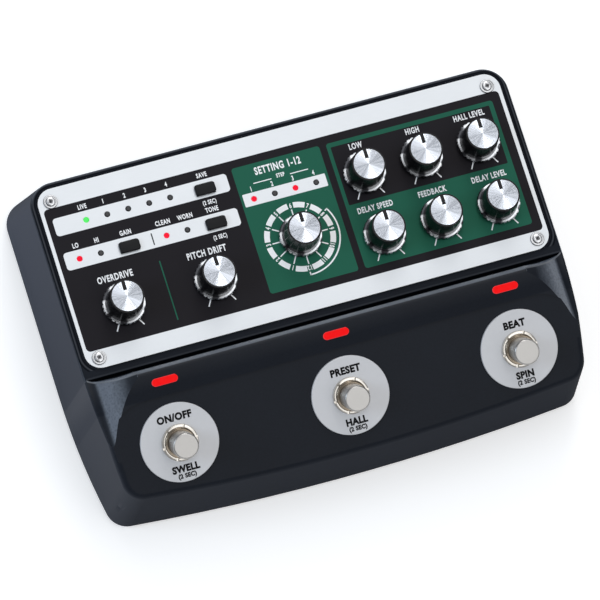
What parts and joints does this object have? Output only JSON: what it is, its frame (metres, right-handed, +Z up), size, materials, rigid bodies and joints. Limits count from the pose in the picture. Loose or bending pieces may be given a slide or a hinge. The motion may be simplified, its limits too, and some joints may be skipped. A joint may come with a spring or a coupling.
{
  "type": "tape echo pedal",
  "caption": "Stepped dark metal tape-echo effects pedal with a green knob panel, a mode selector and foot switches on a raised sloping deck.",
  "frame": {"origin": "on the floor under the middle of the object's box, feet included", "axes": "+X along the width, to the player's right; +Y from the foot deck to the rear sockets; +Z up"},
  "size_m": [0.192, 0.133, 0.0576],
  "materials": {
    "case_paint": "fine grained dark grey paint",
    "plate_paint": "matte black sheet steel",
    "rubber": "matte",
    "panel_print": "satin printed panel, green",
    "steel": "plain",
    "chrome": "polished",
    "disc_metal": "satin",
    "led_red": "lit red",
    "led_green": "lit green",
    "led_dark": "unlit",
    "lens_red": "lit red",
    "board": "glass-fibre board",
    "part_black": "moulded",
    "nylon": "moulded",
    "ribbon": "flat cable",
    "knob_black": "satin",
    "knob_metal": "spun",
    "shaft_steel": "turned",
    "button_black": "satin"
  },
  "bodies": {
    "case": {"board_posts": "nylon", "bottom_plate": "plate_paint", "bottom_screws": "steel", "control_panel": "panel_print", "dc_inlet": "part_black", "jack_nuts": "chrome", "led_green_lit": "led_green", "leds_dark": "led_dark", "leds_red_lit": "led_red", "main_board": "board", "mini_jacks": "part_black", "panel_board": "board", "panel_screws": "steel", "phone_jacks": "part_black", "pot_bodies": "part_black", "pot_nuts": "steel", "ribbon_cables": "ribbon", "rubber_feet": "rubber", "selector_body": "part_black", "status_lenses": "lens_red", "switch_board": "board", "switch_bodies": "part_black", "switch_nuts": "chrome", "switch_plates": "disc_metal", "tact_switches": "part_black", "top_case": "case_paint", "usb_socket": "steel"},
    "low_tone_control": {"low_tone_knob": "knob_black", "low_tone_knob_trim": "knob_metal", "low_tone_shaft": "shaft_steel"},
    "high_tone_control": {"high_tone_knob": "knob_black", "high_tone_knob_trim": "knob_metal", "high_tone_shaft": "shaft_steel"},
    "reverb_level_control": {"reverb_level_knob": "knob_black", "reverb_level_knob_trim": "knob_metal", "reverb_level_shaft": "shaft_steel"},
    "repeat_speed_control": {"repeat_speed_knob": "knob_black", "repeat_speed_knob_trim": "knob_metal", "repeat_speed_shaft": "shaft_steel"},
    "feedback_control": {"feedback_knob": "knob_black", "feedback_knob_trim": "knob_metal", "feedback_shaft": "shaft_steel"},
    "echo_level_control": {"echo_level_knob": "knob_black", "echo_level_knob_trim": "knob_metal", "echo_level_shaft": "shaft_steel"},
    "drive_control": {"drive_knob": "knob_black", "drive_knob_trim": "knob_metal", "drive_shaft": "shaft_steel"},
    "flutter_control": {"flutter_knob": "knob_black", "flutter_knob_trim": "knob_metal", "flutter_shaft": "shaft_steel"},
    "selector_control": {"selector_knob": "knob_black", "selector_knob_trim": "knob_metal", "selector_shaft": "shaft_steel"},
    "store_push": {"store_button": "button_black"},
    "input_push": {"input_button": "button_black"},
    "tape_push": {"tape_button": "button_black"},
    "left_foot": {"left_plunger": "chrome"},
    "middle_foot": {"middle_plunger": "chrome"},
    "right_foot": {"right_plunger": "chrome"}
  },
  "joints": [
    {"name": "low_tone_turn", "type": "hinge", "parent": "case", "child": "low_tone_control", "pos_m": [0.0302, 0.03304, 0.0453], "axis": [0, 0, 1], "range_deg": [-150, 150]},
    {"name": "high_tone_turn", "type": "hinge", "parent": "case", "child": "high_tone_control", "pos_m": [0.0524, 0.03304, 0.0453], "axis": [0, 0, 1], "range_deg": [-150, 150]},
    {"name": "reverb_level_turn", "type": "hinge", "parent": "case", "child": "reverb_level_control", "pos_m": [0.0746, 0.03304, 0.0453], "axis": [0, 0, 1], "range_deg": [-150, 150]},
    {"name": "repeat_speed_turn", "type": "hinge", "parent": "case", "child": "repeat_speed_control", "pos_m": [0.0302, 0.00875, 0.0453], "axis": [0, 0, 1], "range_deg": [-150, 150]},
    {"name": "feedback_turn", "type": "hinge", "parent": "case", "child": "feedback_control", "pos_m": [0.0524, 0.00875, 0.0453], "axis": [0, 0, 1], "range_deg": [-150, 150]},
    {"name": "echo_level_turn", "type": "hinge", "parent": "case", "child": "echo_level_control", "pos_m": [0.0746, 0.00875, 0.0453], "axis": [0, 0, 1], "range_deg": [-150, 150]},
    {"name": "drive_turn", "type": "hinge", "parent": "case", "child": "drive_control", "pos_m": [-0.0702, 0.00875, 0.0453], "axis": [0, 0, 1], "range_deg": [-150, 150]},
    {"name": "flutter_turn", "type": "hinge", "parent": "case", "child": "flutter_control", "pos_m": [-0.0351, 0.00875, 0.0453], "axis": [0, 0, 1], "range_deg": [-150, 150]},
    {"name": "selector_turn", "type": "hinge", "parent": "case", "child": "selector_control", "pos_m": [0, 0.0162, 0.0453], "axis": [0, 0, 1], "range_deg": [-165, 165]},
    {"name": "store_press", "type": "slide", "parent": "case", "child": "store_push", "axis": [0, 0, -1], "range_m": [0, 0.0006], "stiffness_N_per_m": 1500, "springref_m": -0.0006},
    {"name": "input_press", "type": "slide", "parent": "case", "child": "input_push", "axis": [0, 0, -1], "range_m": [0, 0.0006], "stiffness_N_per_m": 1500, "springref_m": -0.0006},
    {"name": "tape_press", "type": "slide", "parent": "case", "child": "tape_push", "axis": [0, 0, -1], "range_m": [0, 0.0006], "stiffness_N_per_m": 1500, "springref_m": -0.0006},
    {"name": "left_press", "type": "slide", "parent": "case", "child": "left_foot", "axis": [0, 0.3827, -0.9239], "range_m": [0, 0.002], "stiffness_N_per_m": 3000, "springref_m": -0.002},
    {"name": "middle_press", "type": "slide", "parent": "case", "child": "middle_foot", "axis": [0, 0.3827, -0.9239], "range_m": [0, 0.002], "stiffness_N_per_m": 3000, "springref_m": -0.002},
    {"name": "right_press", "type": "slide", "parent": "case", "child": "right_foot", "axis": [0, 0.3827, -0.9239], "range_m": [0, 0.002], "stiffness_N_per_m": 3000, "springref_m": -0.002}
  ]
}
